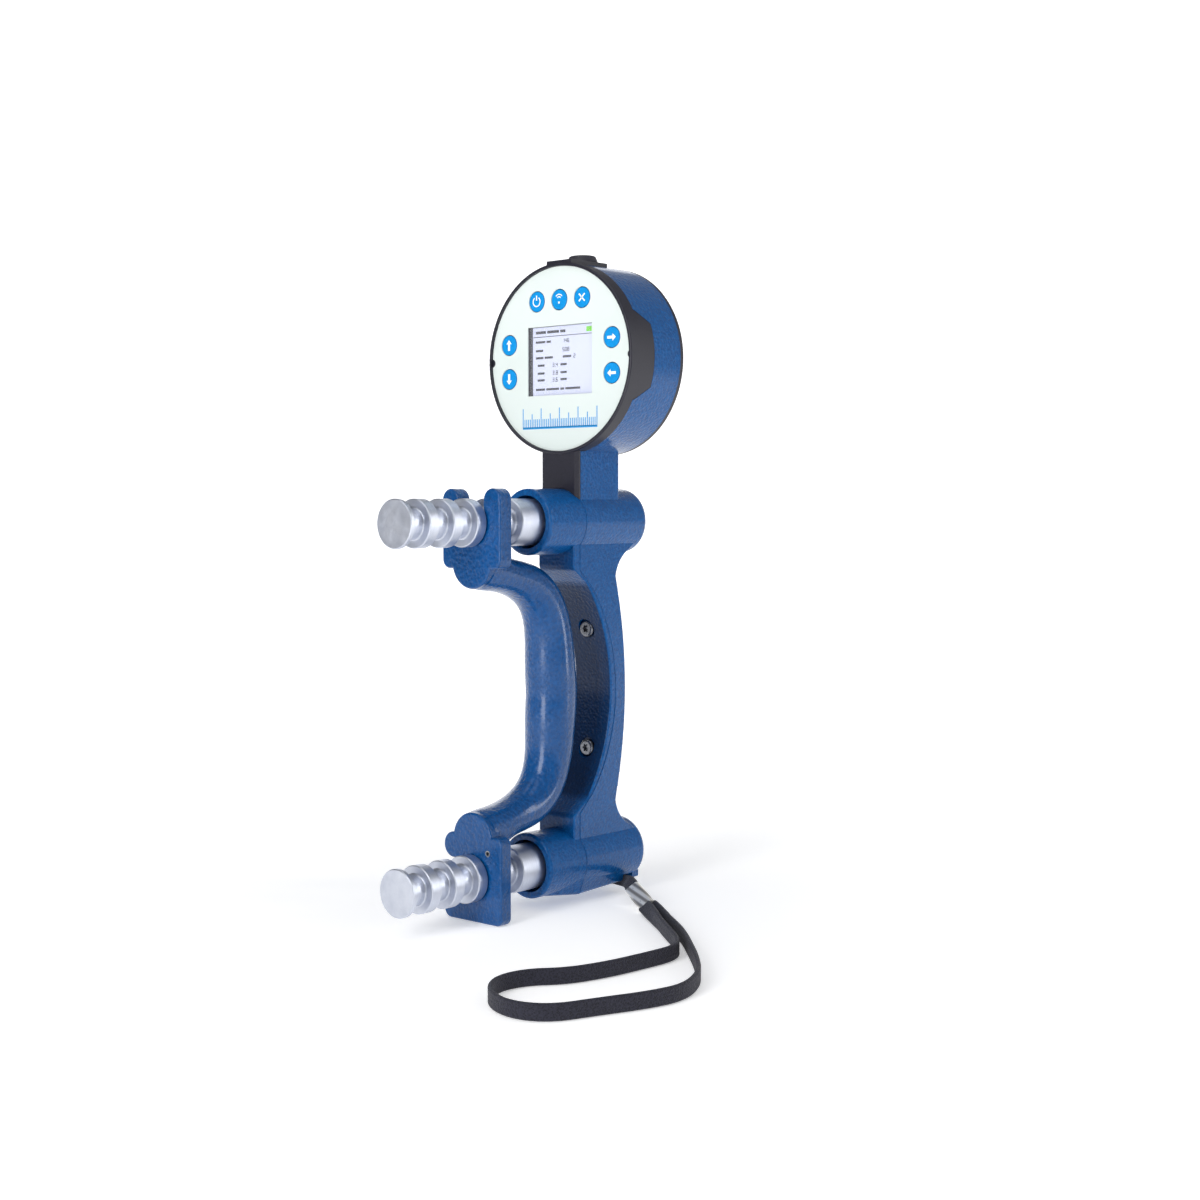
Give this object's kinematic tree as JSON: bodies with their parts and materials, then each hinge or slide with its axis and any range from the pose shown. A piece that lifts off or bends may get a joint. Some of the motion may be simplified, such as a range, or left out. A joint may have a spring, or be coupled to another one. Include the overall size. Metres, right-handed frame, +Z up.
{
  "type": "hand dynamometer",
  "caption": "Hand grip strength tester: two grip posts with a movable curved handle, a cast frame behind it, a round electronic gauge on top and a wrist strap.",
  "frame": {"origin": "on the ground under the middle of the instrument, leaving out the wrist strap", "axes": "+Z up along the instrument, gauge face and post tips towards -Y, +X to the right of someone facing the gauge"},
  "size_m": [0.171, 0.1829, 0.2647],
  "materials": {
    "casting_paint": "glossy blue hammertone paint, fine speckle",
    "handle_paint": "glossy blue hammertone paint, coarse pebble",
    "post_metal": "turned, satin",
    "steel": "satin",
    "screw_steel": "black oxide",
    "spring_steel": "rolled strip",
    "case_plastic": "satin black",
    "face_film": "printed film",
    "key_film": "bright blue, satin",
    "window": "clear",
    "display": "lit screen in a dark module",
    "board": "green laminate",
    "switch_metal": "domed contact",
    "battery_wrap": "film wrap",
    "socket_metal": "plated shell",
    "cover_rubber": "matte",
    "lead_jacket": "matte",
    "webbing": "black woven nylon",
    "ferrule_metal": "nickel plated"
  },
  "bodies": {
    "instrument": {"front_casting": "casting_paint", "rear_casting": "casting_paint", "upper_post": "post_metal", "lower_post": "post_metal", "load_cell": "steel", "casting_screws": "screw_steel", "sensor_lead": "lead_jacket", "gauge_bezel": "case_plastic", "face_overlay": "face_film", "display_window": "window", "lcd_module": "display", "keypad_board": "board", "key_switches": "switch_metal", "main_board": "board", "board_screws": "steel", "battery": "battery_wrap", "charge_socket": "socket_metal", "rear_cover": "case_plastic", "cover_screws": "screw_steel", "strap_pin": "steel", "strap_tail": "webbing", "strap_ferrule": "ferrule_metal", "wrist_strap": "webbing"},
    "handle": {"grip_handle": "handle_paint", "clip_pin": "steel", "retaining_clip": "spring_steel"},
    "key_power_body": {"key_power": "key_film"},
    "key_link_body": {"key_link": "key_film"},
    "key_clear_body": {"key_clear": "key_film"},
    "key_up_body": {"key_up": "key_film"},
    "key_down_body": {"key_down": "key_film"},
    "key_right_body": {"key_right": "key_film"},
    "key_left_body": {"key_left": "key_film"},
    "port_cover_body": {"port_cover": "cover_rubber"}
  },
  "joints": [
    {"name": "handle_swing", "type": "hinge", "parent": "instrument", "child": "handle", "pos_m": [0, -0.0231, 0.1564], "axis": [0, -1, 0], "range_deg": [0, 30], "deforming": ["retaining_clip"]},
    {"name": "key_power_press", "type": "slide", "parent": "instrument", "child": "key_power_body", "axis": [0, 1, 0], "range_m": [0, 0.0004], "stiffness_N_per_m": 400},
    {"name": "key_link_press", "type": "slide", "parent": "instrument", "child": "key_link_body", "axis": [0, 1, 0], "range_m": [0, 0.0004], "stiffness_N_per_m": 400},
    {"name": "key_clear_press", "type": "slide", "parent": "instrument", "child": "key_clear_body", "axis": [0, 1, 0], "range_m": [0, 0.0004], "stiffness_N_per_m": 400},
    {"name": "key_up_press", "type": "slide", "parent": "instrument", "child": "key_up_body", "axis": [0, 1, 0], "range_m": [0, 0.0004], "stiffness_N_per_m": 400},
    {"name": "key_down_press", "type": "slide", "parent": "instrument", "child": "key_down_body", "axis": [0, 1, 0], "range_m": [0, 0.0004], "stiffness_N_per_m": 400},
    {"name": "key_right_press", "type": "slide", "parent": "instrument", "child": "key_right_body", "axis": [0, 1, 0], "range_m": [0, 0.0004], "stiffness_N_per_m": 400},
    {"name": "key_left_press", "type": "slide", "parent": "instrument", "child": "key_left_body", "axis": [0, 1, 0], "range_m": [0, 0.0004], "stiffness_N_per_m": 400},
    {"name": "port_cover_hinge", "type": "hinge", "parent": "instrument", "child": "port_cover_body", "pos_m": [0, 0.047, 0.26265], "axis": [-1, 0, 0], "range_deg": [0, 100]}
  ]
}
